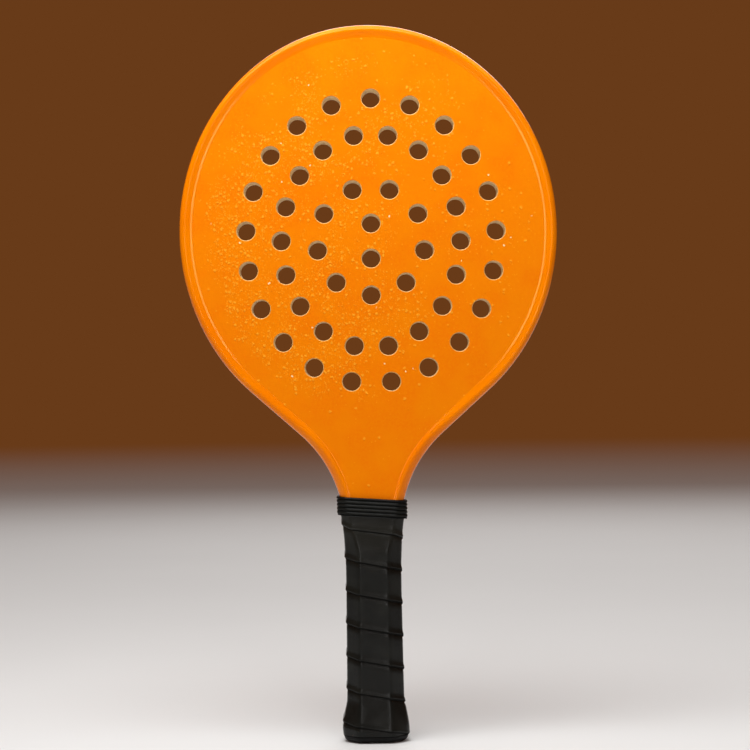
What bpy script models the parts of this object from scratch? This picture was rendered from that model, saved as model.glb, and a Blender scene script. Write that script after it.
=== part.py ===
"""Beach tennis racket: a drilled, moulded head on a wrapped octagonal handle.

Metres, +Z up. The racket stands on its butt: Z runs along its length, the front face looks along -Y,
and the origin is the middle of the butt's flat end.
"""

import math

import bmesh
import bpy

NAME = "beach_tennis_racket"

# Outline of the head and throat, seen from the front
LENGTH = 0.480
HEAD_HALF_WIDTH = 0.1267
HEAD_HALF_HEIGHT = 0.1382
SHOULDER_ANGLE = math.radians(140.7)  # from the top of the head to where its ellipse runs out straight
THROAT_RADIUS = 0.0856
THROAT_HALF_WIDTH = 0.0191  # where the throat's arc would run upright

# Frame tube and faces
RIM_DEPTH = 0.0220
FACE_DEPTH = 0.0194
RIM_WIDTH = 0.0090
THROAT_RIM_WIDTH = 0.0070
RIM_CREST = 0.0038  # from the outside to the top of the rim's bead
RIM_CORNER = 0.0045  # depth of the rounded outer corner
RIM_BULGE = 0.0003
THROAT_BEAD = 0.0009  # the bead is lower where the collar grips it
THROAT_SLOPE = 0.0011  # width of the bead's inner slope at the collar
BEAD_ABOVE_FACE_END = 0.0012  # the bead has run out this far above the face's lower end
TUBE_WALL = 0.0014
SKIN = 0.0011
CLEARANCE = 0.0003  # between pieces that seat on each other

# Air holes, drilled on rings round one centre, with the jig set a little askew as on the real racket
HOLE_DIAMETER = 0.0128
CORE_HOLE_DIAMETER = 0.0122
HOLES_BELOW_CENTRE = 0.0067
HOLES_RIGHT = 0.0018
HOLES_TURN = math.radians(0.7)  # clockwise, seen from the front
OUTER_RING_HALF_WIDTH = 0.0838
OUTER_RING_HALF_HEIGHT = 0.0953
RING_STEP = 0.02375
OUTER_RING_HOLES = 21
MIDDLE_RING_HOLES = 18
INNER_RING_HOLES = 9
RING_STAGGER = 0.5  # the inner rings start this share of a space past the top
CENTRE_HOLE_OFFSET = 0.0117

# Bare handle, an octagon under the wrap
HANDLE_HALF_WIDTH = 0.0169
HANDLE_HALF_DEPTH = 0.0137
HANDLE_SIDE_HALF = 0.0061  # half the flat on each narrow side
HANDLE_EDGE_RADIUS = 0.0015
LEAST_EDGE_RADIUS = 0.0006  # what is left of it where the handle is stepped in
HANDLE_SPREAD = 0.0006  # the handle is this much wider each side at the butt than at its waist
WAIST_BELOW_NECK = 0.0237
PALLET_BELOW_COLLAR = 0.0177
PALLET_RAMP = 0.020
PALLET_TIP = 0.0006  # thickness left at the thin end of a pallet

# Butt cap
CAP_HEIGHT = 0.0257
CAP_WALL = 0.0013
CAP_FLOOR = 0.0030
CAP_LIP_HEIGHT = 0.0042
CAP_LIP = 0.0032
CAP_END_INSET = 0.0017
CAP_FLARE = 0.0028
CAP_WIDEST_Z = 0.0095
CAP_TUCK = 0.0008  # how much of the flare is lost again down at the lip

# Staples that pin the cap to the pallets
STAPLE_Z = 0.0222
STAPLE_WIRE = 0.0007
STAPLE_CROWN = 0.0104
STAPLE_SUNK = 0.0001
STAPLE_COVER = 0.0005  # pallet left beyond a staple's points

# Collar
COLLAR_ABOVE_ARC = 0.0209  # from the height of the throat arc's centre to the collar's top
COLLAR_HEIGHT = 0.0123
COLLAR_STEP = 0.0016  # height of the inner slope from the throat out over the wrap
COLLAR_TOP_WALL = 0.0014
COLLAR_WALL = 0.0006
COLLAR_HEM = 0.0005  # the bottom edge is this much thicker
COLLAR_RIBS = 5
RIB_HEIGHT = 0.00035
COLLAR_SLANT = math.radians(4.0)

# Tape that holds the wrap's top end under the collar
TAPE_THICKNESS = 0.0002
TAPE_WIDTH = 0.0024
TAPE_CLEARANCE = 0.00015

# Grip wrap, one strip wound upwards from the butt
STRIP_THICKNESS = 0.0015
STRIP_EDGE = 0.0004
STRIP_SKIVE = 0.0050
STRIP_LANDING = 1.5  # run over which the strip comes down on the handle, in times the height of that step
STRIP_FULL = 0.0040  # from the lower edge to where the strip is thickest
WRAP_PITCH = 0.0219
WRAP_OVERLAP = 0.0025
WRAP_SELF_GAP = 0.00050
WRAP_START_WIDTH = 0.0030
WRAP_LIFT_START = 0.93  # of a turn, where the strip starts to climb on its own first turn
WRAP_LIFT_RUN = 0.06
WRAP_START_CORNER = 14
WRAP_UNDER_COLLAR = 0.0028

# Facets
HEAD_STEPS = 22
THROAT_STEPS = 6
NECK_STEPS = 3
HOLE_SIDES = 16

HEAD_CENTRE_Z = LENGTH - HEAD_HALF_HEIGHT
HOLES_Z = HEAD_CENTRE_Z - HOLES_BELOW_CENTRE
RIM_HALF = RIM_DEPTH / 2
FACE_HALF = FACE_DEPTH / 2
PALLET_SEAT = FACE_HALF + CLEARANCE
REBATE = CAP_WALL + CLEARANCE
HANDLE_FOOT_Z = CAP_FLOOR + CLEARANCE
STRIP_WIDTH = WRAP_PITCH + WRAP_OVERLAP
WRAP_BOTTOM_Z = CAP_LIP_HEIGHT + CLEARANCE
OCTAGON_SPREAD = math.tan(math.radians(22.5))  # an octagon's corner moves this far along a flat, per offset
DIAGONAL = math.sqrt(0.5)


def mix(a, b, share):
    return a + (b - a) * share


def unit(x, z):
    length = math.hypot(x, z)
    return x / length, z / length


def clamp(value, low=0.0, high=1.0):
    return max(low, min(high, value))


def shoulder():
    """(point, outward normal) where the head's ellipse ends."""
    sine, cosine = math.sin(SHOULDER_ANGLE), math.cos(SHOULDER_ANGLE)
    point = (HEAD_HALF_WIDTH * sine, HEAD_CENTRE_Z + HEAD_HALF_HEIGHT * cosine)
    return point, unit(sine / HEAD_HALF_WIDTH, cosine / HEAD_HALF_HEIGHT)


def throat_arc():
    """(centre, start point) of the throat's arc, which touches the straight shoulder."""
    (x, z), (nx, nz) = shoulder()
    tx, tz = nz, -nx
    straight = (THROAT_HALF_WIDTH + THROAT_RADIUS * (1 - nx) - x) / tx
    foot = (x + tx * straight, z + tz * straight)
    return (foot[0] + nx * THROAT_RADIUS, foot[1] + nz * THROAT_RADIUS), foot


ARC_CENTRE, ARC_FOOT = throat_arc()
COLLAR_TOP_Z = ARC_CENTRE[1] + COLLAR_ABOVE_ARC
COLLAR_ANGLE = -math.asin(COLLAR_ABOVE_ARC / THROAT_RADIUS)
COLLAR_HALF_WIDTH = ARC_CENTRE[0] - THROAT_RADIUS * math.cos(COLLAR_ANGLE)
COLLAR_SLOPE = -math.tan(COLLAR_ANGLE)
NECK_LENGTH = 2 * (COLLAR_HALF_WIDTH - HANDLE_HALF_WIDTH) / COLLAR_SLOPE
NECK_FOOT_Z = COLLAR_TOP_Z - NECK_LENGTH
WAIST_Z = NECK_FOOT_Z - WAIST_BELOW_NECK
PALLET_TOP_Z = COLLAR_TOP_Z - PALLET_BELOW_COLLAR
FACE_END_Z = PALLET_TOP_Z + CLEARANCE
NECK_BENDS = [mix(NECK_FOOT_Z, FACE_END_Z, share) for share in (0.0, 1 / 3, 2 / 3, 1.0)]
HANDLE_BENDS = [CAP_WIDEST_Z, CAP_HEIGHT, *NECK_BENDS]
LEAST_EDGE = 0.0004  # bends nearer than this are drawn as one


def handle_half_width(z):
    """Half-width of the bare handle: a parabola takes it from the throat's arc down to its waist."""
    neck = max(0.0, (z - NECK_FOOT_Z) / NECK_LENGTH)
    spread = clamp((WAIST_Z - z) / (WAIST_Z - CAP_HEIGHT))
    rise = (COLLAR_HALF_WIDTH - HANDLE_HALF_WIDTH) * neck**2
    return HANDLE_HALF_WIDTH + rise + HANDLE_SPREAD * spread


def handle_half_depth(z):
    """Half-depth of the bare handle, which thins to the head's own depth below the collar."""
    ramp = clamp((z - (PALLET_TOP_Z - PALLET_RAMP)) / PALLET_RAMP)
    return mix(HANDLE_HALF_DEPTH, PALLET_SEAT + PALLET_TIP, ramp)


def octagon(z, grow=0.0):
    """The 16 points round the bare handle at height z, grown by an offset, anticlockwise from +X.

    Each of the octagon's corners is cut by the chord of its rounding.
    """
    half_width = handle_half_width(z) + grow
    half_depth = handle_half_depth(z) + grow
    side = HANDLE_SIDE_HALF + OCTAGON_SPREAD * grow
    front = half_width - (half_depth - side)
    cut = OCTAGON_SPREAD * max(HANDLE_EDGE_RADIUS + grow, LEAST_EDGE_RADIUS)
    slant = DIAGONAL * cut
    quarter = [
        (half_width, side - cut),
        (half_width - slant, side + slant),
        (front + slant, half_depth - slant),
        (front - cut, half_depth),
    ]
    left = [(-x, y) for x, y in reversed(quarter)]
    back = quarter + left
    return back + [(-x, -y) for x, y in back]


def ring(z, grow=0.0):
    return [(x, y, z) for x, y in octagon(z, grow)]


def cap_side(z):
    """How far the butt cap stands out from the bare handle at height z."""
    if z >= CAP_WIDEST_Z:
        return CAP_FLARE * max(0.0, (CAP_HEIGHT - z) / (CAP_HEIGHT - CAP_WIDEST_Z))
    return CAP_FLARE - CAP_TUCK * (CAP_WIDEST_Z - z) / (CAP_WIDEST_Z - CAP_LIP_HEIGHT)


# Objects, materials and lofts

def clear_scene():
    for obj in list(bpy.data.objects):
        bpy.data.objects.remove(obj, do_unlink=True)


def collection(name, hidden=False):
    made = bpy.data.collections.new(name)
    made.hide_render = hidden
    bpy.context.scene.collection.children.link(made)
    return made


def material(name, colour, roughness, metallic=0.0):
    made = bpy.data.materials.new(name)
    made.use_nodes = True
    shader = made.node_tree.nodes["Principled BSDF"]
    shader.inputs["Base Color"].default_value = (*colour, 1.0)
    shader.inputs["Roughness"].default_value = roughness
    shader.inputs["Metallic"].default_value = metallic
    return made


def join_rings(bm, rings, closed=False):
    """Quads between each ring of vertices and the next, and back to the first ring if closed.

    A vertex may stand twice in a row in a ring: then its quad is a triangle, or nothing.
    """
    pairs = list(zip(rings, rings[1:]))
    if closed:
        pairs.append((rings[-1], rings[0]))
    for a, b in pairs:
        for k in range(len(a)):
            m = (k + 1) % len(a)
            corners = list(dict.fromkeys((a[k], a[m], b[m], b[k])))
            if len(corners) > 2:
                bm.faces.new(corners)


def add_ring(bm, points):
    """One vertex for each point, and the same vertex again where a point repeats the last one."""
    made = []
    for k, point in enumerate(points):
        made.append(made[-1] if k and point == points[k - 1] else bm.verts.new(point))
    return made


def mesh_object(name, bm, finish, target, smooth=40):
    bmesh.ops.recalc_face_normals(bm, faces=bm.faces)
    mesh = bpy.data.meshes.new(name)
    bm.to_mesh(mesh)
    bm.free()
    mesh.shade_smooth()
    mesh.set_sharp_from_angle(angle=math.radians(smooth))
    mesh.materials.append(finish)
    return place(name, mesh, target)


def place(name, data, target, location=(0, 0, 0), rotation=(0, 0, 0)):
    obj = bpy.data.objects.new(name, data)
    obj.location = location
    obj.rotation_euler = rotation
    target.objects.link(obj)
    return obj


def loft(name, rings, finish, target):
    """A solid through the rings, with its first and last ring filled."""
    bm = bmesh.new()
    made = [add_ring(bm, points) for points in rings]
    join_rings(bm, made)
    for end in (made[0], made[-1]):
        bm.faces.new(list(dict.fromkeys(end)))
    return mesh_object(name, bm, finish, target)


def sleeve(name, rings, finish, target):
    """An open-ended band: the rings run down its outside and back up its inside."""
    bm = bmesh.new()
    join_rings(bm, [add_ring(bm, points) for points in rings], closed=True)
    return mesh_object(name, bm, finish, target)


def flat_curve(name, outlines, thickness, finish):
    """A plate of this thickness on its own XY plane, from one outline and the holes inside it."""
    curve = bpy.data.curves.new(name, "CURVE")
    curve.dimensions = "2D"
    curve.fill_mode = "BOTH"
    curve.extrude = thickness / 2
    curve.materials.append(finish)
    for points in outlines:
        spline = curve.splines.new("POLY")
        spline.points.add(len(points) - 1)
        for made, (x, y) in zip(spline.points, points):
            made.co = (x, y, 0.0, 1.0)
        spline.use_cyclic_u = True
    return curve


def as_mesh(obj):
    """A mesh object in place of a curve object, with the curve's loose caps welded."""
    graph = bpy.context.evaluated_depsgraph_get()
    mesh = bpy.data.meshes.new_from_object(obj.evaluated_get(graph))
    bm = bmesh.new()
    bm.from_mesh(mesh)
    bmesh.ops.remove_doubles(bm, verts=bm.verts, dist=1e-6)
    bmesh.ops.recalc_face_normals(bm, faces=bm.faces)
    bm.to_mesh(mesh)
    bm.free()
    made = bpy.data.objects.new(obj.name, mesh)
    made.matrix_world = obj.matrix_world.copy()
    for target in obj.users_collection:
        target.objects.link(made)
    name = obj.name
    bpy.data.objects.remove(obj, do_unlink=True)
    made.name = name
    return made


# The frame's path

def station(point, normal, width, bead, morph):
    """One place along the outline: morph runs from the head's rounded section to the handle's."""
    return {"point": point, "normal": normal, "width": width, "bead": bead, "morph": morph, "inset": 0.0}


def head_stations():
    made = []
    for step in range(HEAD_STEPS + 1):
        angle = SHOULDER_ANGLE * step / HEAD_STEPS
        sine, cosine = math.sin(angle), math.cos(angle)
        point = (HEAD_HALF_WIDTH * sine, HEAD_CENTRE_Z + HEAD_HALF_HEIGHT * cosine)
        normal = unit(sine / HEAD_HALF_WIDTH, cosine / HEAD_HALF_HEIGHT)
        made.append(station(point, normal, RIM_WIDTH, RIM_HALF - FACE_HALF, 0.0))
    return made


def throat_stations():
    """Down the straight shoulder and round the throat's arc to the collar's top."""
    (x, z), normal = shoulder()
    places = [((mix(x, ARC_FOOT[0], 0.5), mix(z, ARC_FOOT[1], 0.5)), normal)]
    start = math.atan2(normal[1], normal[0])
    for step in range(THROAT_STEPS + 1):
        angle = mix(start, COLLAR_ANGLE, step / THROAT_STEPS)
        facing = (math.cos(angle), math.sin(angle))
        point = (ARC_CENTRE[0] - THROAT_RADIUS * facing[0], ARC_CENTRE[1] - THROAT_RADIUS * facing[1])
        places.append((point, facing))
    made = []
    for point, facing in places:
        share = clamp((z - point[1]) / (z - COLLAR_TOP_Z))
        width = mix(RIM_WIDTH, THROAT_RIM_WIDTH, share)
        bead = mix(RIM_HALF - FACE_HALF, THROAT_BEAD, share)
        made.append(station(point, facing, width, bead, share))
    return made


def handle_stations():
    """Under the collar and down the handle, where the two legs of the tube run upright."""
    made = []
    bead_end = FACE_END_Z + BEAD_ABOVE_FACE_END
    for step in range(1, NECK_STEPS + 1):
        z = mix(COLLAR_TOP_Z, bead_end, step / NECK_STEPS)
        tilt = COLLAR_SLOPE * (z - bead_end) / (COLLAR_TOP_Z - bead_end)
        facing = unit(1.0, -tilt)
        made.append(station((handle_half_width(z), z), facing, THROAT_RIM_WIDTH, THROAT_BEAD, 1.0))
    down = [*reversed(NECK_BENDS), WAIST_Z, CAP_HEIGHT + REBATE]
    for z in down:
        made.append(station((handle_half_width(z), z), (1.0, 0.0), THROAT_RIM_WIDTH, 0.0, 1.0))
    for z in (CAP_HEIGHT + CLEARANCE, HANDLE_FOOT_Z):
        leg = station((handle_half_width(z) - REBATE, z), (1.0, 0.0), THROAT_RIM_WIDTH - REBATE, 0.0, 1.0)
        leg["inset"] = REBATE
        made.append(leg)
    return made


def right_side():
    return head_stations() + throat_stations() + handle_stations()


def round_section(width):
    """Half of the rim's section on the head, as (inwards, depth) from its outer wall to the face."""
    corner_z = RIM_HALF - RIM_CORNER
    made = []
    for angle in (0.0, math.pi / 6, math.pi / 3, math.pi / 2):
        across = RIM_BULGE + (RIM_CREST - RIM_BULGE) * (1 - math.cos(angle))
        made.append((across, corner_z + RIM_CORNER * math.sin(angle)))
    for share in (1 / 3, 2 / 3, 1.0):
        bead = (RIM_HALF - FACE_HALF) * (1 + math.cos(math.pi * share)) / 2
        made.append((mix(RIM_CREST, width, share), FACE_HALF + bead))
    return made


def bevelled_section(width, bead, inset):
    """Half of a leg's section in the handle: side flat, cut corner, bevel, and a flat top."""
    side = HANDLE_SIDE_HALF - OCTAGON_SPREAD * inset
    top = FACE_HALF + bead
    cut = OCTAGON_SPREAD * max(HANDLE_EDGE_RADIUS - inset, LEAST_EDGE_RADIUS)
    slope_start = max(top - side, width - THROAT_SLOPE)
    return [
        (0.0, side - cut),
        (DIAGONAL * cut, side + DIAGONAL * cut),
        (mix(DIAGONAL * cut, top - side, 0.5), mix(side + DIAGONAL * cut, top, 0.5)),
        (top - side, top),
        (mix(top - side, slope_start, 0.5), top),
        (slope_start, top),
        (width, FACE_HALF),
    ]


def cavity_section(width, inset, morph):
    """Half of the hollow inside the tube, three points, one wall in from the outside."""
    side = HANDLE_SIDE_HALF - OCTAGON_SPREAD * inset
    inner = width - TUBE_WALL
    bevel = side - TUBE_WALL / DIAGONAL
    top = min(FACE_HALF - TUBE_WALL, inner + bevel)
    near = min(top - bevel, mix(TUBE_WALL, inner, 0.8))
    legs = [(TUBE_WALL, side - OCTAGON_SPREAD * TUBE_WALL), (near, near + bevel), (inner, top)]
    head = [
        (RIM_BULGE + TUBE_WALL, RIM_HALF - RIM_CORNER),
        (RIM_CREST, RIM_HALF - TUBE_WALL),
        (inner, FACE_HALF - TUBE_WALL),
    ]
    return [(mix(a[0], b[0], morph), mix(a[1], b[1], morph)) for a, b in zip(head, legs)]


def tube_rings(place_on):
    """The outer and the hollow's ring at one station, as (x, y, z) points."""
    width, morph, inset = place_on["width"], place_on["morph"], place_on["inset"]
    rounded = round_section(width)
    bevelled = bevelled_section(width, place_on["bead"], inset)
    outer = [(mix(a[0], b[0], morph), mix(a[1], b[1], morph)) for a, b in zip(rounded, bevelled)]
    hollow = cavity_section(width, inset, morph)
    (x, z), (nx, nz) = place_on["point"], place_on["normal"]
    made = []
    for equator, half in ((0.0, outer), (TUBE_WALL, hollow)):
        section = [(equator, 0.0)] + half + [(u, -y) for u, y in reversed(half)]
        made.append([(x - nx * u, y, z - nz * u) for u, y in section])
    return made


def mirrored(place_on):
    (x, z), (nx, nz) = place_on["point"], place_on["normal"]
    return dict(place_on, point=(-x, z), normal=(-nx, nz))


def frame_tube(finish, target):
    """The hollow hoop: up the left leg, round the head and down the right leg, open at both feet."""
    right = right_side()
    path = [mirrored(place_on) for place_on in reversed(right[1:])] + right
    bm = bmesh.new()
    outer, hollow = [], []
    for place_on in path:
        outside, inside = tube_rings(place_on)
        outer.append(add_ring(bm, outside))
        hollow.append(add_ring(bm, inside))
    join_rings(bm, outer)
    join_rings(bm, hollow)
    # Each outer point's mate in the hollow, so that the open ends are closed by a ring of faces.
    mates = [0, 1, 1, 2, 2, 2, 3, 3, 4, 4, 5, 5, 5, 6, 6]
    for outside, inside in ((outer[0], hollow[0]), (outer[-1], hollow[-1])):
        for k, mate in enumerate(mates):
            m = (k + 1) % len(mates)
            corners = [outside[k], outside[m], inside[mates[m]]]
            if mates[m] != mate:
                corners.append(inside[mate])
            bm.faces.new(corners)
    return mesh_object("frame_tube", bm, finish, target)


# The faces and the core, drilled together

def face_outline(gap):
    """The edge of a face or core, this far inside the tube, down to where the handle begins."""
    right = []
    for place_on in right_side():
        (x, z), (nx, nz) = place_on["point"], place_on["normal"]
        if z < FACE_END_Z - CLEARANCE / 2:
            break
        inwards = place_on["width"] + gap
        right.append((x - nx * inwards, z - nz * inwards))
    return right + [(-x, z) for x, z in reversed(right[1:])]


def ring_centres(half_width, half_height, count, start):
    """Centres spaced evenly along an ellipse, the first this share of a space past the top."""
    fine = 720
    points = [
        (half_width * math.sin(2 * math.pi * k / fine), half_height * math.cos(2 * math.pi * k / fine))
        for k in range(fine + 1)
    ]
    lengths = [0.0]
    for a, b in zip(points, points[1:]):
        lengths.append(lengths[-1] + math.dist(a, b))
    made = []
    for hole in range(count):
        wanted = lengths[-1] * (hole + start) / count
        k = next(i for i in range(fine) if lengths[i + 1] >= wanted)
        share = (wanted - lengths[k]) / (lengths[k + 1] - lengths[k])
        made.append((mix(points[k][0], points[k + 1][0], share), mix(points[k][1], points[k + 1][1], share)))
    return made


def hole_centres():
    wide, tall = OUTER_RING_HALF_WIDTH, OUTER_RING_HALF_HEIGHT
    made = ring_centres(wide, tall, OUTER_RING_HOLES, 0.0)
    made += ring_centres(wide - RING_STEP, tall - RING_STEP, MIDDLE_RING_HOLES, RING_STAGGER)
    made += ring_centres(wide - 2 * RING_STEP, wide - 2 * RING_STEP, INNER_RING_HOLES, RING_STAGGER)
    made += [(0.0, CENTRE_HOLE_OFFSET), (0.0, -CENTRE_HOLE_OFFSET)]
    sine, cosine = math.sin(HOLES_TURN), math.cos(HOLES_TURN)
    return [(HOLES_RIGHT + x * cosine + z * sine, HOLES_Z + z * cosine - x * sine) for x, z in made]


def hole_outlines(diameter):
    made = []
    for x, z in hole_centres():
        circle = []
        for k in range(HOLE_SIDES):
            angle = 2 * math.pi * (k + 0.5) / HOLE_SIDES
            circle.append((x + diameter / 2 * math.cos(angle), z + diameter / 2 * math.sin(angle)))
        made.append(circle)
    return made


UPRIGHT = (math.pi / 2, 0.0, 0.0)


def face_skins(finish, target):
    outlines = [face_outline(CLEARANCE)] + hole_outlines(HOLE_DIAMETER)
    curve = flat_curve("face_skin", outlines, SKIN, finish)
    middle = FACE_HALF - SKIN / 2
    return [
        place("front_face_skin", curve, target, (0, -middle, 0), UPRIGHT),
        place("rear_face_skin", curve, target, (0, middle, 0), UPRIGHT),
    ]


def foam_core(finish, target):
    outlines = [face_outline(CLEARANCE)] + hole_outlines(CORE_HOLE_DIAMETER)
    thickness = FACE_DEPTH - 2 * (SKIN + CLEARANCE)
    return place("foam_core", flat_curve("foam_core", outlines, thickness, finish), target, (0, 0, 0), UPRIGHT)


# Inside the handle

def handle_core(finish, target):
    """The foam block between the tube's legs."""
    rings = []
    for z in (HANDLE_FOOT_Z, CAP_HEIGHT, WAIST_Z, NECK_FOOT_Z, mix(NECK_FOOT_Z, PALLET_TOP_Z, 0.5), PALLET_TOP_Z):
        x = handle_half_width(z) - THROAT_RIM_WIDTH - CLEARANCE
        y = FACE_HALF
        rings.append([(x, -y, z), (x, y, z), (-x, y, z), (-x, -y, z)])
    return loft("handle_core", rings, finish, target)


def pallet_ring(z, grow):
    """A pallet's section: seated on the tube's legs, its outer side on the handle's octagon."""
    points = octagon(z, grow)
    outer = points[10:14]  # the front flat between its two bevels
    half_width, side = handle_half_width(z) + grow, HANDLE_SIDE_HALF + OCTAGON_SPREAD * grow
    seat_x = half_width - (PALLET_SEAT - side)
    seat = [(seat_x, -PALLET_SEAT), (-seat_x, -PALLET_SEAT)]
    return [(x, y, z) for x, y in outer + seat]


def pallets(finish, target):
    heights = [(HANDLE_FOOT_Z, -REBATE), (CAP_HEIGHT + CLEARANCE, -REBATE), (CAP_HEIGHT + REBATE, 0.0)]
    full = PALLET_TOP_Z - PALLET_RAMP
    heights += [(z, 0.0) for z in (WAIST_Z, full, mix(full, PALLET_TOP_Z, 0.5), PALLET_TOP_Z)]
    front = loft("front_pallet", [pallet_ring(z, grow) for z, grow in heights], finish, target)
    rear = place("rear_pallet", front.data, target, rotation=(0, 0, math.pi))
    return front, rear


# Butt cap and its staples

def butt_cap(finish, target):
    """A cup over the handle's foot: rounded end, ledge for the wrap, flared side and open top."""
    rings = []
    arc_width = CAP_LIP + CAP_END_INSET
    for angle in (0.0, math.pi / 6, math.pi / 3, math.pi / 2):
        z = CAP_LIP_HEIGHT * (1 - math.cos(angle))
        rings.append(ring(z, arc_width * math.sin(angle) - CAP_END_INSET))
    rings += [ring(z, cap_side(z)) for z in (CAP_LIP_HEIGHT, CAP_WIDEST_Z, CAP_HEIGHT)]
    rings += [ring(CAP_HEIGHT, -CAP_WALL), ring(CAP_FLOOR, -CAP_WALL)]
    return loft("butt_cap", rings, finish, target)


def staple_outline(clearance):
    """A staple seen along the handle: its crown sunk in the cap, its legs ending inside a pallet."""
    crown = -(handle_half_depth(STAPLE_Z) + cap_side(STAPLE_Z) - STAPLE_SUNK)
    outside = crown - (4 * clearance if clearance else 0.0)
    inside = crown + STAPLE_WIRE + clearance
    point = -(PALLET_SEAT + STAPLE_COVER) + clearance
    wide = STAPLE_CROWN / 2 + clearance
    narrow = STAPLE_CROWN / 2 - STAPLE_WIRE - clearance
    return [
        (-wide, outside), (wide, outside), (wide, point), (narrow, point),
        (narrow, inside), (-narrow, inside), (-narrow, point), (-wide, point),
    ]


def cut(obj, cutter):
    modifier = obj.modifiers.new(cutter.name, "BOOLEAN")
    modifier.operation = "DIFFERENCE"
    modifier.solver = "EXACT"
    modifier.object = cutter


def staples(finish, target, cutters, cap, front_pallet, rear_pallet):
    """One staple each side, and the slots that it sits in."""
    wire = flat_curve("cap_staple", [staple_outline(0.0)], STAPLE_WIRE, finish)
    slot = flat_curve("staple_slot", [staple_outline(CLEARANCE)], STAPLE_WIRE + 2 * CLEARANCE, finish)
    for side, turn, pallet in (("front", 0.0, front_pallet), ("rear", math.pi, rear_pallet)):
        at = {"location": (0, 0, STAPLE_Z), "rotation": (0, 0, turn)}
        place(f"{side}_cap_staple", wire, target, **at)
        cutter = place(f"{side}_staple_slot", slot, cutters, **at)
        bpy.context.view_layer.update()
        cutter = as_mesh(cutter)
        cutter.hide_render = True
        cutter.display_type = "WIRE"
        cut(cap, cutter)
        cut(pallet, cutter)


# Collar

WRAP_LIFT = STRIP_EDGE + (STRIP_THICKNESS - STRIP_EDGE) * WRAP_OVERLAP / STRIP_SKIVE + WRAP_SELF_GAP
WRAP_PROUD = CLEARANCE + WRAP_LIFT + STRIP_EDGE  # how far the wrap reaches out from the bare handle
COLLAR_BOTTOM_Z = COLLAR_TOP_Z - COLLAR_HEIGHT
WRAP_TOP_Z = COLLAR_BOTTOM_Z + WRAP_UNDER_COLLAR
COLLAR_SKIRT = WRAP_PROUD + TAPE_THICKNESS + 2 * TAPE_CLEARANCE
COLLAR_SKIRT_TOP_Z = WRAP_TOP_Z + CLEARANCE


def slanted(height, grow):
    """A ring round the neck whose height falls towards +X by the collar's slant."""
    made = []
    for k, (x, y) in enumerate(octagon(height, grow)):
        z = height - x * math.tan(COLLAR_SLANT)
        x, y = octagon(z, grow)[k]
        made.append((x, y, z))
    return made


def collar_outside(z):
    """How far the tops of the collar's ribs stand out from the bare handle."""
    top = CLEARANCE + COLLAR_TOP_WALL
    over_wrap = COLLAR_SKIRT + COLLAR_WALL
    if z > COLLAR_SKIRT_TOP_Z:
        return mix(over_wrap, top, (z - COLLAR_SKIRT_TOP_Z) / (COLLAR_TOP_Z - COLLAR_SKIRT_TOP_Z))
    return over_wrap + COLLAR_HEM * (COLLAR_SKIRT_TOP_Z - z) / (COLLAR_SKIRT_TOP_Z - COLLAR_BOTTOM_Z)


def grip_collar(finish, target):
    """A ribbed rubber ring: its top grips the throat and its skirt covers the wrap's top edge."""
    pitch = COLLAR_HEIGHT / COLLAR_RIBS
    rings = []
    for rib in range(COLLAR_RIBS):
        for share, sunk in ((0.0, 0.6), (0.18, 0.0), (0.62, 0.0), (0.80, 1.0)):
            z = COLLAR_TOP_Z - pitch * (rib + share)
            rings.append(slanted(z, collar_outside(z) - RIB_HEIGHT * sunk))
    rings.append(slanted(COLLAR_BOTTOM_Z, collar_outside(COLLAR_BOTTOM_Z) - RIB_HEIGHT))
    rings.append(slanted(COLLAR_BOTTOM_Z, COLLAR_SKIRT))
    rings.append(slanted(COLLAR_SKIRT_TOP_Z, COLLAR_SKIRT))
    rings.append(slanted(COLLAR_SKIRT_TOP_Z + COLLAR_STEP, CLEARANCE))
    rings.append(slanted(COLLAR_TOP_Z, CLEARANCE))
    return sleeve("grip_collar", rings, finish, target)


def finishing_tape(finish, target):
    """A thin band round the top of the wrap, out of sight under the collar's skirt."""
    inside = WRAP_PROUD + TAPE_CLEARANCE
    outside = inside + TAPE_THICKNESS
    low = WRAP_TOP_Z - TAPE_WIDTH
    corners = ((WRAP_TOP_Z, outside), (low, outside), (low, inside), (WRAP_TOP_Z, inside))
    return sleeve("finishing_tape", [slanted(z, grow) for z, grow in corners], finish, target)


# Grip wrap

def corner_distances():
    """The way round the handle from one octagon point to the next, as shares of a turn."""
    points = octagon(WAIST_Z, CLEARANCE + STRIP_THICKNESS / 2)
    steps = [math.dist(a, b) for a, b in zip(points, points[1:] + points[:1])]
    return [step / sum(steps) for step in steps]


def wrap_stations():
    """(corner, lower edge, upper edge, lift share) for each octagon point that the strip passes.

    The strip climbs as it goes clockwise. Its first turn is cut level and its last along the collar.
    """
    steps = corner_distances()
    ends = [z for _, _, z in slanted(WRAP_TOP_Z, CLEARANCE)]
    corner, turn, made = WRAP_START_CORNER, 0.0, []
    while True:
        upper = WRAP_BOTTOM_Z + WRAP_START_WIDTH + WRAP_PITCH * turn
        lower = max(WRAP_BOTTOM_Z, upper - STRIP_WIDTH)
        if lower > ends[corner] - WRAP_START_WIDTH:
            return made
        lift = clamp((turn - WRAP_LIFT_START) / WRAP_LIFT_RUN)
        made.append((corner, lower, min(upper, ends[corner]), lift))
        corner = (corner - 1) % len(steps)
        turn += steps[corner]


def strip_inside(z, lower, lift):
    """The strip's inner face above the bare handle: lifted over the turn below, then down on the handle."""
    along = z - lower
    end = WRAP_OVERLAP + CLEARANCE
    landing = STRIP_EDGE + WRAP_SELF_GAP
    if along <= end:
        height = mix(WRAP_LIFT, landing, along / end)
    else:
        height = landing * clamp(1 - (along - end) / (STRIP_LANDING * landing))
    return CLEARANCE + lift * height


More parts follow.
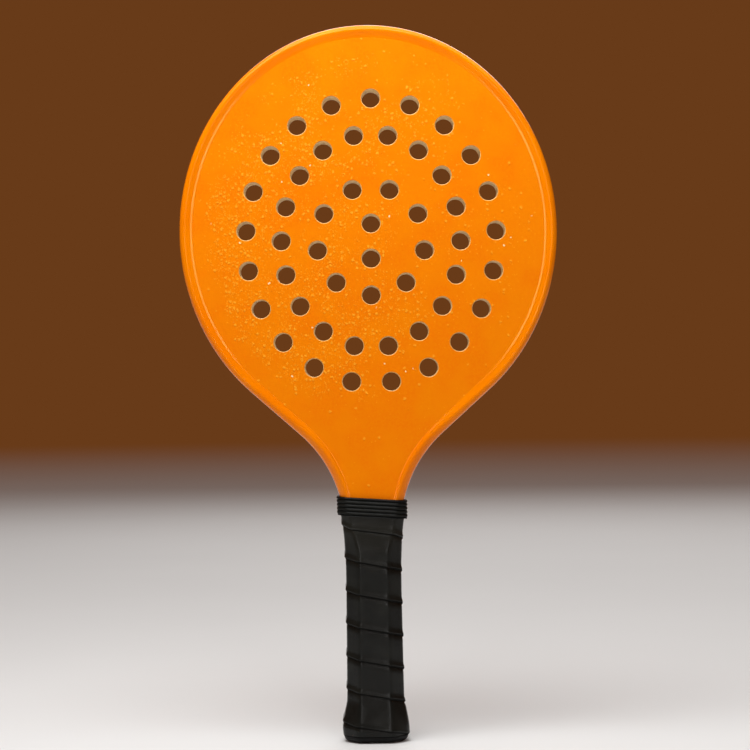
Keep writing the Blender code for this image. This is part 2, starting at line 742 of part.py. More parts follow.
def strip_outside(z, lower, upper, lift):
    skive = clamp((upper - z) / STRIP_SKIVE)
    body = CLEARANCE + mix(STRIP_EDGE, STRIP_THICKNESS, skive)
    return max(body, strip_inside(z, lower, lift) + STRIP_EDGE)


def strip_heights(own, lower, upper):
    """Where a face of the strip bends: at its own heights, and at those where the handle below bends."""
    made = list(own)
    for bend in HANDLE_BENDS:
        z = clamp(bend, lower, upper)
        nearest = min(own, key=lambda height: abs(height - z))
        made.append(nearest if abs(nearest - z) < LEAST_EDGE else z)
    return sorted(made)


def strip_section(lower, upper, lift):
    """(height, offset) of the strip's corners, up its outside and down its inside."""
    width = upper - lower
    end = WRAP_OVERLAP + CLEARANCE
    landing = end + STRIP_LANDING * (STRIP_EDGE + WRAP_SELF_GAP)
    full = lower + min(STRIP_FULL, 0.35 * width)
    thin = max(upper - STRIP_SKIVE, mix(full, upper, 0.2))
    inner = (lower, lower + min(end, 0.4 * width), lower + min(landing, 0.7 * width), upper)
    outer = (lower, full, thin, upper)
    outside = [(z, strip_outside(z, lower, upper, lift)) for z in strip_heights(outer, lower, upper)]
    inside = [(z, strip_inside(z, lower, lift)) for z in strip_heights(inner, lower, upper)]
    return outside, inside


def offset_at(face, z):
    """The offset of one face of the strip at height z, between the corners that its section has."""
    for (low, a), (high, b) in zip(face, face[1:]):
        if low <= z <= high and low < high:
            return mix(a + cap_side(low), b + cap_side(high), (z - low) / (high - low)) - cap_side(z)
    return face[-1][1]


def least_gap(sections):
    """The least gap between each turn and the one below it, on points along every octagon corner."""
    gaps = []
    for (_, inside), (outside_below, _) in zip(sections[len(corner_distances()):], sections):
        low, high = inside[0][0], outside_below[-1][0]
        for step in range(21):
            z = mix(low, high, step / 20)
            gaps.append(offset_at(inside, z) - offset_at(outside_below, z))
    return min(gaps)


def wrap_point(corner, z, offset):
    x, y = octagon(z, cap_side(z) + offset)[corner]
    return (x, y, z)


def grip_wrap(finish, target):
    """One strip from the butt to the collar, each turn's lower edge over the upper edge of the last."""
    stations = wrap_stations()
    sections = [strip_section(lower, upper, lift) for _, lower, upper, lift in stations]
    rings = []
    for (corner, *_), (outside, inside) in zip(stations, sections):
        rings.append([wrap_point(corner, z, offset) for z, offset in outside + inside[::-1]])
    print(f"grip wrap: {len(stations)} sections, least gap to itself {least_gap(sections) * 1000:.2f} mm")
    return loft("grip_wrap", rings, finish, target)


def build():
    clear_scene()
    parts = collection(NAME)
    cutters = collection("cutters", hidden=True)
    lacquer = material("orange_lacquer", (0.92, 0.24, 0.004), 0.28)
    foam = material("cream_foam", (0.62, 0.52, 0.34), 0.85)
    block = material("handle_foam", (0.55, 0.50, 0.40), 0.9)
    plastic = material("black_plastic", (0.015, 0.015, 0.015), 0.45)
    leather = material("black_wrap", (0.022, 0.021, 0.019), 0.55)
    rubber = material("black_rubber", (0.018, 0.018, 0.017), 0.6)
    steel = material("staple_steel", (0.60, 0.60, 0.62), 0.35, 1.0)
    frame_tube(lacquer, parts)
    face_skins(lacquer, parts)
    foam_core(foam, parts)
    handle_core(block, parts)
    front_pallet, rear_pallet = pallets(block, parts)
    cap = butt_cap(plastic, parts)
    staples(steel, parts, cutters, cap, front_pallet, rear_pallet)
    grip_wrap(leather, parts)
    finishing_tape(plastic, parts)
    grip_collar(rubber, parts)
    base = bpy.data.objects.new(NAME, None)
    parts.objects.link(base)
    for obj in parts.objects:
        if obj is not base:
            obj.parent = base


build()
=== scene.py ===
"""Looks of the beach tennis racket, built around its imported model.

Metres, +Z up. The racket stands on its butt, its front face looks along -Y.
"""

import math

import bmesh
import bpy
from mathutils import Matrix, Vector, noise
from mathutils.geometry import delaunay_2d_cdt

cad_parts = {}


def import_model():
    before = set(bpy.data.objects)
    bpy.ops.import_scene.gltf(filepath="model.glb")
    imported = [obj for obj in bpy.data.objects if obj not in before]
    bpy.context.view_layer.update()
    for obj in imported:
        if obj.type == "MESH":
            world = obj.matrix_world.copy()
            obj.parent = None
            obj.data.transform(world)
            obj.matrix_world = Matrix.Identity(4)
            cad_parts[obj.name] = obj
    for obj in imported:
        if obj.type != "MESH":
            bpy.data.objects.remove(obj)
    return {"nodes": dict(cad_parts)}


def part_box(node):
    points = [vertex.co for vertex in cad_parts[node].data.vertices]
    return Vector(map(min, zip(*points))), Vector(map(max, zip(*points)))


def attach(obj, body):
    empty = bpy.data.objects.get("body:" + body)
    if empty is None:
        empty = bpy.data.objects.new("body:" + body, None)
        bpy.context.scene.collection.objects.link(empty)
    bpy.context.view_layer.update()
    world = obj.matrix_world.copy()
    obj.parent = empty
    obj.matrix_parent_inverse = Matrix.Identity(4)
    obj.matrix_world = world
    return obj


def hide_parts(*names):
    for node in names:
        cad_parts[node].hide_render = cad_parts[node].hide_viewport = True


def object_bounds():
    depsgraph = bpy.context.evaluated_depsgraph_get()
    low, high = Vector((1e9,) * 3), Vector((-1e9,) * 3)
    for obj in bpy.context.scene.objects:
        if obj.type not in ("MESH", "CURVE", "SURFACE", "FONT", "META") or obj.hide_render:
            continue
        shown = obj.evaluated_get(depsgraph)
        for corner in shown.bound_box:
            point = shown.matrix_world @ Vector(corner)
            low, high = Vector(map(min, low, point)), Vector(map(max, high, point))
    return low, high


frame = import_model()
CAD_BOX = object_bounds()

# Outline of the head and throat
LENGTH = CAD_BOX[1][2]
HEAD_HALF_WIDTH = CAD_BOX[1][0]
HEAD_HALF_HEIGHT = 0.1382
HEAD_CENTRE_Z = LENGTH - HEAD_HALF_HEIGHT
SHOULDER_ANGLE = math.radians(140.7)  # from the head's top to the start of the straight shoulder
THROAT_RADIUS = 0.0856
THROAT_HALF_WIDTH = 0.0191

# Gaps between seated pieces
CLEARANCE = 0.0003
HALF_GAP = CLEARANCE / 2
CORE_GAP = CLEARANCE / 3

# Frame tube and faces
RIM_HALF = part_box("frame_tube")[1][1]
FACE_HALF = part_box("rear_face_skin")[1][1]
SKIN = FACE_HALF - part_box("rear_face_skin")[0][1]
FACE_END_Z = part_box("rear_face_skin")[0][2]
RIM_WIDTH = 0.0090
THROAT_RIM_WIDTH = 0.0070
RIM_CREST = 0.0038  # how far inwards the bead is highest
RIM_CORNER = 0.0045
RIM_BULGE = 0.0003  # how far the outer wall's middle stands out
RIM_SIDE_POWER = 0.9  # under 1, the rim's side leans in sooner
THROAT_BEAD = 0.0009
THROAT_SLOPE = 0.0013
THROAT_SIDE_CORNER = 0.0065
THROAT_TOP_CORNER = 0.0022
# (share across, share of the height left) down the rim's inner slope: crest, slope, shallow foot
BEAD_SLOPE = (
    (0.08, 0.969), (0.14, 0.922), (0.43, 0.5656), (0.72, 0.2092),
    (0.74, 0.1937), (0.96, 0.0226), (0.98, 0.007), (1.0, 0.0),
)
# and down the throat's, steep between two shallow ledges
LEDGED_SLOPE = (
    (0.0, 1.0), (0.03, 0.9945), (0.29, 0.946), (0.32, 0.940),
    (0.68, 0.060), (0.71, 0.054), (0.97, 0.0055), (1.0, 0.0),
)

# Air holes
HOLES_Z = HEAD_CENTRE_Z - 0.0067
HOLES_RIGHT = 0.0018
HOLES_TURN = math.radians(0.7)
OUTER_RING_HALF_WIDTH = 0.0838
OUTER_RING_HALF_HEIGHT = 0.0953
RING_STEP = 0.02375
RING_COUNTS = (21, 18, 9)
CENTRE_HOLE_OFFSET = 0.0117
HOLE_RADIUS = 0.00658
HOLE_CHAMFER = 0.00045
HOLE_EDGE = 0.00012  # the painted skin's rounded edge, outside the chamfer
CORE_HOLE_RADIUS = 0.00616

# Handle
HANDLE_HALF_WIDTH = 0.0169
HANDLE_HALF_DEPTH = 0.0137
HANDLE_SIDE_HALF = 0.0061
HANDLE_EDGE_RADIUS = 0.0024
HANDLE_SPREAD = 0.0006
WAIST_BELOW_NECK = 0.0237
PALLET_BELOW_COLLAR = 0.0177
PALLET_RAMP = 0.020
NECK_HALF_DEPTH = 0.0106
OCTAGON_SPREAD = math.tan(math.radians(22.5))

# Butt cap
CAP_TOP_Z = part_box("butt_cap")[1][2]
CAP_LIP_HEIGHT = 0.0042
CAP_LIP = 0.0032
CAP_END_INSET = 0.0017
CAP_FLARE = 0.0028
CAP_WIDEST_Z = 0.0095
CAP_TUCK = 0.0008
CAP_KNEE = 0.00045  # how softly the flare's knee is rounded
CAP_WALL = 0.0013
CAP_FLOOR = 0.0030

# Grip wrap
WRAP_BOTTOM_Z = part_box("grip_wrap")[0][2]
STRIP_THICKNESS = 0.0015
STRIP_EDGE = 0.0004
STRIP_SKIVE = 0.0050
WRAP_PITCH = 0.0219
WRAP_OVERLAP = 0.0025
WRAP_SELF_GAP = 0.00020
WRAP_START_WIDTH = 0.0030
WRAP_UNDER_COLLAR = 0.0028
LANDING_LENGTH = 0.0022  # past the overlap, where the strip comes down onto the handle
EDGE_ROLL = 0.0012
OVERLAP_THICKNESS = 0.85 * STRIP_THICKNESS
SETTLE_START, SETTLE_LENGTH = 0.0008, 0.0060  # where the outer face loses its step
FIRST_LAP = 0.90  # in turns: where the strip first meets its own upper edge
FIRST_LAP_RISE = 0.10
WAVER = 0.00022  # how far the strip's lower edge wanders
WAVER_RATE, WAVER_SEED = 4.0, 3.1
NECK_PAD = 0.0005  # the tape's layers below the collar, under the strip
NECK_PAD_LOW, NECK_PAD_HIGH = 0.116, 0.130
BUTT_PAD = 0.0007  # and where the flare's edge pushes the strip out
BUTT_PAD_LOW, BUTT_PAD_HIGH = 0.019, 0.030
# Shares of the strip's width at which its section has points
OUTSIDE_SHARES = (
    0.0, 0.014, 0.038, 0.060, 0.09, 0.14, 0.21, 0.31,
    0.43, 0.57, 0.71, 0.81, 0.88, 0.94, 0.975, 1.0,
)
INSIDE_SHARES = (1.0, 0.85, 0.7, 0.55, 0.4, 0.28, 0.19, 0.1, 0.04, 0.0)

# Collar
COLLAR_ABOVE_ARC = 0.0209
COLLAR_HEIGHT = 0.0123
COLLAR_SLANT = math.radians(4.0)
COLLAR_STEP = 0.0016
COLLAR_TOP_GROW = 0.0018
COLLAR_SKIRT = 0.00255
COLLAR_WALL = 0.0011
COLLAR_HEM = 0.0006
COLLAR_PLUMP = 0.00035
COLLAR_RIBS = 5
RIB_HEIGHT = 0.0008
RIB_POWER = 0.9  # under 1, the ribs are plumper and their grooves sharper
# In ribs, down from the top: where the plain lip ends in the first groove, and over what length
LIP_END = 0.75
LIP_FALL = 0.4
# (depth in rib heights, length in ribs) of the rolled edges
TOP_ROLL = (0.8, 0.35)
HEM_ROLL = (0.3, 0.5)

# Camera, in the photograph's frame of 750 pixels
IMAGE_SIZE = 750
FOCAL_PIXELS = 2170
SENSOR = 36.0
CAMERA = (0.0030, -1.4600, 0.2454)
CAMERA_ROLL = math.radians(0.93)

# Facets of the pieces made here
HEAD_STEPS = 96
SHOULDER_STEPS = 8
THROAT_STEPS = 26
NECK_STEPS = 10
CORNER_STEPS = 4  # an eighth of a turn in the rim's section
HOLE_SIDES = 64
ELLIPSE_STEPS = 720  # for spacing the holes alone
SIDE_STEPS, ARC_STEPS, BEVEL_STEPS, FRONT_STEPS = 3, 5, 4, 3  # round a quarter of the handle
RIB_STEPS = 12
CAP_LIP_STEPS = 8
CAP_SIDE_STEPS = 12
TRIANGLES_INSIDE = 1  # what delaunay_2d_cdt is asked for
SAME_POINT = 1e-7  # and how near to each other it takes points as one


def mix(a, b, share):
    return a + (b - a) * share


def mix_points(a, b, share):
    return mix(a[0], b[0], share), mix(a[1], b[1], share)


def clamp(value, low=0.0, high=1.0):
    return max(low, min(high, value))


def smooth(share):
    """An eased share: level at both ends."""
    share = clamp(share)
    return share * share * (3 - 2 * share)


def unit(x, z):
    length = math.hypot(x, z)
    return x / length, z / length


def on_circle(centre, radius, angle):
    """The point of a circle at this angle from +X."""
    return centre[0] + radius * math.cos(angle), centre[1] + radius * math.sin(angle)


# The racket's outline

def ellipse_place(angle):
    """(point, outward normal) on the head's ellipse, at this angle from its top."""
    sine, cosine = math.sin(angle), math.cos(angle)
    point = (HEAD_HALF_WIDTH * sine, HEAD_CENTRE_Z + HEAD_HALF_HEIGHT * cosine)
    return point, unit(sine / HEAD_HALF_WIDTH, cosine / HEAD_HALF_HEIGHT)


def throat_arc():
    """(centre, start point) of the throat's arc, which touches the straight shoulder."""
    (x, z), (nx, nz) = ellipse_place(SHOULDER_ANGLE)
    tx, tz = nz, -nx
    straight = (THROAT_HALF_WIDTH + THROAT_RADIUS * (1 - nx) - x) / tx
    foot = (x + tx * straight, z + tz * straight)
    return (foot[0] + nx * THROAT_RADIUS, foot[1] + nz * THROAT_RADIUS), foot


ARC_CENTRE, ARC_FOOT = throat_arc()
COLLAR_TOP_Z = ARC_CENTRE[1] + COLLAR_ABOVE_ARC
COLLAR_BOTTOM_Z = COLLAR_TOP_Z - COLLAR_HEIGHT
COLLAR_ANGLE = -math.asin(COLLAR_ABOVE_ARC / THROAT_RADIUS)
COLLAR_HALF_WIDTH = ARC_CENTRE[0] - THROAT_RADIUS * math.cos(COLLAR_ANGLE)
COLLAR_SLOPE = -math.tan(COLLAR_ANGLE)
NECK_LENGTH = 2 * (COLLAR_HALF_WIDTH - HANDLE_HALF_WIDTH) / COLLAR_SLOPE
NECK_FOOT_Z = COLLAR_TOP_Z - NECK_LENGTH
WAIST_Z = NECK_FOOT_Z - WAIST_BELOW_NECK
PALLET_TOP_Z = COLLAR_TOP_Z - PALLET_BELOW_COLLAR
WRAP_TOP_Z = COLLAR_BOTTOM_Z + WRAP_UNDER_COLLAR
SKIRT_TOP_Z = WRAP_TOP_Z + CLEARANCE
STRIP_WIDTH = WRAP_PITCH + WRAP_OVERLAP
OVERLAP_EDGE = STRIP_EDGE + (STRIP_THICKNESS - STRIP_EDGE) * WRAP_OVERLAP / STRIP_SKIVE
WRAP_LIFT = OVERLAP_EDGE + WRAP_SELF_GAP


def handle_half_width(z):
    """Of the bare handle: it swells into the neck upwards and a little towards the butt."""
    neck = max(0.0, (z - NECK_FOOT_Z) / NECK_LENGTH)
    spread = clamp((WAIST_Z - z) / (WAIST_Z - CAP_TOP_Z))
    rise = (COLLAR_HALF_WIDTH - HANDLE_HALF_WIDTH) * neck**2
    return HANDLE_HALF_WIDTH + rise + HANDLE_SPREAD * spread


def handle_half_depth(z):
    """Of the bare handle: it thins where the pallets end."""
    ramp = smooth((z - (PALLET_TOP_Z - PALLET_RAMP)) / PALLET_RAMP)
    return mix(HANDLE_HALF_DEPTH, NECK_HALF_DEPTH, ramp)


def cap_side(z):
    """How far the butt cap stands out from the bare handle, with its knee rounded."""
    cone = CAP_FLARE * max(0.0, (CAP_TOP_Z - z) / (CAP_TOP_Z - CAP_WIDEST_Z))
    tuck = CAP_FLARE - CAP_TUCK * (CAP_WIDEST_Z - z) / (CAP_WIDEST_Z - CAP_LIP_HEIGHT)
    excess = cone - tuck
    soft = 0.5 * (excess + math.sqrt(excess**2 + CAP_KNEE**2))
    return cone - soft


def rounded_corner(x, y, facing, radius):
    """The arc that rounds a corner of the octagon, after the flat that faces this way."""
    sine, cosine = math.sin(facing), math.cos(facing)
    centre = (
        x - radius * (cosine - OCTAGON_SPREAD * sine),
        y - radius * (sine + OCTAGON_SPREAD * cosine),
    )
    angles = [facing + math.pi / 4 * k / ARC_STEPS for k in range(ARC_STEPS + 1)]
    return [on_circle(centre, radius, angle) for angle in angles]


def handle_ring(z, grow=0.0):
    """Points round the handle at height z, grown by an offset: an octagon with rounded edges.

    They run anticlockwise from the middle of its +X side.
    """
    half_width = handle_half_width(z) + grow
    half_depth = handle_half_depth(z) + grow
    side = HANDLE_SIDE_HALF + OCTAGON_SPREAD * grow
    front = half_width - (half_depth - side)
    radius = HANDLE_EDGE_RADIUS + grow
    side_arc = rounded_corner(half_width, side, 0.0, radius)
    front_arc = rounded_corner(front, half_depth, math.radians(45), radius)
    quarter = [(half_width, side_arc[0][1] * k / SIDE_STEPS) for k in range(SIDE_STEPS)]
    quarter += side_arc
    for k in range(1, BEVEL_STEPS):
        quarter.append(mix_points(side_arc[-1], front_arc[0], k / BEVEL_STEPS))
    quarter += front_arc
    for k in range(1, FRONT_STEPS + 1):
        quarter.append((mix(front_arc[-1][0], 0.0, k / FRONT_STEPS), half_depth))
    left = [(-x, y) for x, y in reversed(quarter[:-1])]
    upper = quarter + left[:-1]
    return upper + [(-x, -y) for x, y in upper]


# Meshes

def piece(name, bm, materials, smooth_angle, replaces):
    """A finished mesh as a piece of the racket."""
    bmesh.ops.recalc_face_normals(bm, faces=bm.faces)
    mesh = bpy.data.meshes.new(name)
    bm.to_mesh(mesh)
    bm.free()
    mesh.shade_smooth()
    mesh.set_sharp_from_angle(angle=math.radians(smooth_angle))
    for made in materials:
        mesh.materials.append(made)
    obj = bpy.data.objects.new(name, mesh)
    bpy.context.scene.collection.objects.link(obj)
    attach(obj, "root")
    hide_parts(*replaces)


def add_ring(bm, points):
    """New vertices at these points."""
    return [bm.verts.new(point) for point in points]


def join_rings(bm, rings, closed=False, material=0, marked=()):
    """Faces between the rings; the marked steps along a ring get the next material."""
    pairs = list(zip(rings, rings[1:]))
    if closed:
        pairs.append((rings[-1], rings[0]))
    for a, b in pairs:
        for k in range(len(a)):
            m = (k + 1) % len(a)
            face = bm.faces.new((a[k], a[m], b[m], b[k]))
            face.material_index = material + (k in marked)


def close_ends(bm, rings):
    """A flat face over the first ring and one over the last."""
    bm.faces.new(rings[0])
    bm.faces.new(rings[-1])


# The rim

def head_places():
    """(point, normal, share) down the right side: share is 0 on the head, 1 at the collar."""
    angles = [SHOULDER_ANGLE * k / HEAD_STEPS for k in range(HEAD_STEPS + 1)]
    return [(*ellipse_place(angle), 0.0) for angle in angles]


def throat_places():
    """(point, normal, share) down the straight shoulder and the throat's arc."""
    shoulder, normal = ellipse_place(SHOULDER_ANGLE)
    places = []
    for k in range(1, SHOULDER_STEPS):
        places.append((mix_points(shoulder, ARC_FOOT, k / SHOULDER_STEPS), normal))
    start = math.atan2(normal[1], normal[0])
    for k in range(THROAT_STEPS + 1):
        angle = mix(start, COLLAR_ANGLE, k / THROAT_STEPS)
        nx, nz = math.cos(angle), math.sin(angle)
        point = (ARC_CENTRE[0] - THROAT_RADIUS * nx, ARC_CENTRE[1] - THROAT_RADIUS * nz)
        places.append((point, (nx, nz)))
    top, drop = shoulder[1], shoulder[1] - COLLAR_TOP_Z
    return [(point, facing, clamp((top - point[1]) / drop)) for point, facing in places]


def neck_places():
    """(point, normal, share) out of sight, under the collar and the wrap."""
    made = []
    for k in range(1, NECK_STEPS + 1):
        z = mix(COLLAR_TOP_Z, FACE_END_Z, k / NECK_STEPS)
        tilt = COLLAR_SLOPE * (z - FACE_END_Z) / (COLLAR_TOP_Z - FACE_END_Z)
        made.append(((handle_half_width(z), z), unit(1.0, -tilt), 1.0))
    for z in (NECK_FOOT_Z, WAIST_Z, CAP_TOP_Z + 2 * CLEARANCE):
        made.append(((handle_half_width(z), z), (1.0, 0.0), 1.0))
    return made


def right_side():
    """All places down the right side, from the head's top to the butt cap."""
    return head_places() + throat_places() + neck_places()


def rim_width(share):
    return mix(RIM_WIDTH, THROAT_RIM_WIDTH, share)


def round_section(width):
    """Half of the rim's section on the head, as (inwards, depth), from its wall to the face."""
    made = []
    corner_y = RIM_HALF - RIM_CORNER
    for k in range(2 * CORNER_STEPS + 1):
        angle = math.pi / 2 * k / (2 * CORNER_STEPS)
        lean = (1 - math.cos(angle)) ** RIM_SIDE_POWER
        across = RIM_BULGE + (RIM_CREST - RIM_BULGE) * lean
        made.append((across, corner_y + RIM_CORNER * math.sin(angle)))
    bead = RIM_HALF - FACE_HALF
    for share, height in BEAD_SLOPE:
        made.append((mix(RIM_CREST, width, share), FACE_HALF + bead * height))
    return made


def bevelled_section(width):
    """Half of a leg's section at the collar: side flat, bevel, flat top and short inner slope."""
    side, top = HANDLE_SIDE_HALF, FACE_HALF + THROAT_BEAD
    lower = side - THROAT_SIDE_CORNER * OCTAGON_SPREAD
    crest = top - side + THROAT_TOP_CORNER * OCTAGON_SPREAD
    made = []
    for k in range(CORNER_STEPS + 1):
        angle = math.pi / 4 * k / CORNER_STEPS
        across = THROAT_SIDE_CORNER * (1 - math.cos(angle))
        made.append((across, lower + THROAT_SIDE_CORNER * math.sin(angle)))
    for k in range(CORNER_STEPS):
        angle = math.pi / 4 * (1 + (k + 1) / CORNER_STEPS)
        across = crest - THROAT_TOP_CORNER * math.cos(angle)
        made.append((across, top - THROAT_TOP_CORNER * (1 - math.sin(angle))))
    slope = width - THROAT_SLOPE
    for share, height in LEDGED_SLOPE:
        made.append((mix(slope, width, share), FACE_HALF + THROAT_BEAD * height))
    return made


def rim(lacquer):
    """The glossy frame: rounded bead round the head, bevelled legs down the throat."""
    right = right_side()
    left = [((-x, z), (-nx, nz), share) for (x, z), (nx, nz), share in reversed(right[1:])]
    bm = bmesh.new()
    rings = []
    for (x, z), (nx, nz), share in left + right:
        width = rim_width(share)
        shape = smooth(share)
        pairs = zip(round_section(width), bevelled_section(width))
        half = [mix_points(a, b, shape) for a, b in pairs]
        section = [(0.0, 0.0)] + half + [(u, -y) for u, y in reversed(half)]
        rings.append(add_ring(bm, [(x - nx * u, y, z - nz * u) for u, y in section]))
    join_rings(bm, rings)
    close_ends(bm, rings)
    piece("rim", bm, [lacquer], smooth_angle=50, replaces=["frame_tube"])


# The faces and core

def face_outline():
    """The edge of a face, where the rim's inner slope meets it."""
    right = []
    for (x, z), (nx, nz), share in right_side():
        if z < FACE_END_Z - HALF_GAP:
            break
        right.append((x - nx * rim_width(share), z - nz * rim_width(share)))
    return right + [(-x, z) for x, z in reversed(right[1:])]


def ring_centres(half_width, half_height, count, start):
    """Centres spaced evenly along an ellipse, the first this share of a space past the top."""
    angles = [2 * math.pi * k / ELLIPSE_STEPS for k in range(ELLIPSE_STEPS + 1)]
    points = [(half_width * math.sin(angle), half_height * math.cos(angle)) for angle in angles]
    lengths = [0.0]
    for a, b in zip(points, points[1:]):
        lengths.append(lengths[-1] + math.dist(a, b))
    made = []
    for hole in range(count):
        wanted = lengths[-1] * (hole + start) / count
        k = next(i for i in range(ELLIPSE_STEPS) if lengths[i + 1] >= wanted)
        share = (wanted - lengths[k]) / (lengths[k + 1] - lengths[k])
        made.append(mix_points(points[k], points[k + 1], share))
    return made


def hole_centres():
    """Two elliptical rings, a round one and the two middle holes, turned and moved as one."""
    wide, tall = OUTER_RING_HALF_WIDTH, OUTER_RING_HALF_HEIGHT
    outer, middle, inner = RING_COUNTS
    made = ring_centres(wide, tall, outer, 0.0)
    made += ring_centres(wide - RING_STEP, tall - RING_STEP, middle, 0.5)
    made += ring_centres(wide - 2 * RING_STEP, wide - 2 * RING_STEP, inner, 0.5)
    made += [(0.0, CENTRE_HOLE_OFFSET), (0.0, -CENTRE_HOLE_OFFSET)]
    sine, cosine = math.sin(HOLES_TURN), math.cos(HOLES_TURN)
    return [
        (HOLES_RIGHT + x * cosine + z * sine, HOLES_Z + z * cosine - x * sine) for x, z in made
    ]


def hole_outline(centre, radius):
    return [on_circle(centre, radius, 2 * math.pi * k / HOLE_SIDES) for k in range(HOLE_SIDES)]


def flat_ring(bm, points, y):
    return add_ring(bm, [(x, y, z) for x, z in points])


def triangles_between(outline, loops):
    """Triangles that fill the outline and leave the loops open, as indices into their points."""
    points, edges, owners = [], [], []
    for owner, loop in enumerate([outline] + loops):
        first = len(points)
        points += [Vector(point) for point in loop]
        edges += [(first + k, first + (k + 1) % len(loop)) for k in range(len(loop))]
        owners += [owner] * len(loop)
    found = delaunay_2d_cdt(points, edges, [], TRIANGLES_INSIDE, SAME_POINT)
    triangles, sources = found[2], found[3]
    made = []
    for triangle in triangles:
        corners = [sources[k][0] for k in triangle]
        around = {owners[k] for k in corners}
        if len(around) > 1 or 0 in around:
            made.append(corners)
    return made


def drilled_plate(name, outline, profile, materials, replaces):
    """A flat plate with the air holes: profile lists (radius, y, material) through each hole.

    The plate's two flat sides lie at the profile's first and last y.
    """
    bm = bmesh.new()
    centres = hole_centres()
    edges = [flat_ring(bm, outline, profile[end][1]) for end in (0, -1)]
    linings = []
    for centre in centres:
        linings.append([flat_ring(bm, hole_outline(centre, r), y) for r, y, _ in profile])
    for lining in linings:
        for a, b, (_, _, material) in zip(lining, lining[1:], profile[1:]):
            join_rings(bm, [a, b], material=material)
    join_rings(bm, edges)
    for end, edge in zip((0, -1), edges):
        radius = profile[end][0]
        verts = list(edge)
        for lining in linings:
            verts += lining[end]
        loops = [hole_outline(centre, radius) for centre in centres]
        for corners in triangles_between(outline, loops):
            bm.faces.new([verts[k] for k in corners])
    piece(name, bm, materials, smooth_angle=25, replaces=replaces)


def faces(paint, edge):
    """Both drilled faces: painted skin, a bare chamfer round each hole, and its wall."""
    outline = face_outline()
    mouth = FACE_HALF - HOLE_EDGE / 2
    for name, side in (("front", -1), ("rear", 1)):
        profile = [
            (HOLE_RADIUS + HOLE_EDGE, side * FACE_HALF, 0),
            (HOLE_RADIUS, side * mouth, 0),
            (HOLE_RADIUS - HOLE_CHAMFER, side * (mouth - HOLE_CHAMFER), 1),
            (CORE_HOLE_RADIUS, side * (FACE_HALF - SKIN), 1),
        ]
        node = f"{name}_face_skin"
        drilled_plate(f"{name}_face", outline, profile, [paint, edge], [node])


def core(foam):
    """The drilled foam plate between the faces."""
    half = FACE_HALF - SKIN - CORE_GAP
    profile = [(CORE_HOLE_RADIUS, -half, 0), (CORE_HOLE_RADIUS, half, 0)]
    drilled_plate("foam_plate", face_outline(), profile, [foam], ["foam_core"])


# The collar

def collar_outside(z):
    """How far the crests of the ribs stand out from the bare handle, but for their plumpness."""
    over_wrap = COLLAR_SKIRT + COLLAR_WALL
    if z > SKIRT_TOP_Z:
        share = (z - SKIRT_TOP_Z) / (COLLAR_TOP_Z - SKIRT_TOP_Z)
        return mix(over_wrap, COLLAR_TOP_GROW, share)
    return over_wrap + COLLAR_HEM * (SKIRT_TOP_Z - z) / (SKIRT_TOP_Z - COLLAR_BOTTOM_Z)


def rib_sink(down):
    """How far the surface lies under the crests, in rib heights, this many ribs from the top."""
    if down < LIP_END:
        rise = 1 - smooth((down - LIP_END + LIP_FALL) / LIP_FALL)
    else:
        rise = abs(math.sin(math.pi * (down - LIP_END))) ** RIB_POWER
    top = TOP_ROLL[0] * (1 - smooth(down / TOP_ROLL[1]))
    hem = HEM_ROLL[0] * (1 - smooth((COLLAR_RIBS - down) / HEM_ROLL[1]))
    return 1 - rise + (top + hem)


def slanted(height, grow):
    """A ring round the neck whose height falls towards +X."""
    made = []
    for k, (x, _) in enumerate(handle_ring(height, grow)):
        z = height - x * math.tan(COLLAR_SLANT)
        x, y = handle_ring(z, grow)[k]
        made.append((x, y, z))
    return made


def collar(rubber):
    """A plain lip at the top, rounded ribs with grooves between them, and a rolled hem."""
    levels = []
    for k in range(COLLAR_RIBS * RIB_STEPS + 1):
        down = k / RIB_STEPS
        z = COLLAR_TOP_Z - COLLAR_HEIGHT / COLLAR_RIBS * down
        levels.append((z, collar_outside(z) + COLLAR_PLUMP - RIB_HEIGHT * rib_sink(down)))
    levels += [
        (COLLAR_BOTTOM_Z, COLLAR_SKIRT),
        (SKIRT_TOP_Z, COLLAR_SKIRT),
        (SKIRT_TOP_Z + COLLAR_STEP, HALF_GAP),
        (COLLAR_TOP_Z, HALF_GAP),
    ]
    bm = bmesh.new()
    join_rings(bm, [add_ring(bm, slanted(z, grow)) for z, grow in levels], closed=True)
    piece(
        "ribbed_collar", bm, [rubber], smooth_angle=60, replaces=["grip_collar"],
    )


# The grip wrap

def strip_inside(along, lift):
    """The strip's inner face above the bare handle, this far above its lower edge."""
    landing = STRIP_EDGE + WRAP_SELF_GAP
    if along <= WRAP_OVERLAP:
        height = mix(WRAP_LIFT, landing, along / WRAP_OVERLAP)
    else:
        height = landing * (1 - smooth((along - WRAP_OVERLAP) / LANDING_LENGTH))
    return HALF_GAP + lift * height


def strip_outside(along, width, lift):
    """The strip's outer face: rolled at its lower edge, thinned towards its upper edge."""
    skive = smooth((width - along) / STRIP_SKIVE)
    body = HALF_GAP + mix(STRIP_EDGE, STRIP_THICKNESS, skive)
    roll = mix(STRIP_EDGE, OVERLAP_THICKNESS, smooth(along / EDGE_ROLL))
    over = strip_inside(along, lift) + roll
    settle = smooth((along - SETTLE_START) / SETTLE_LENGTH)
    return mix(max(body, over), body, settle)


def wrap_section(lower, upper, uncut, lift):
    """(height, offset) round the strip: up its outside, then down its inside."""
    width = upper - lower
    made = []
    for share in OUTSIDE_SHARES:
        along = width * share
        made.append((lower + along, strip_outside(along, uncut - lower, lift)))
    for share in INSIDE_SHARES:
        along = width * share
        made.append((lower + along, strip_inside(along, lift)))
    return made


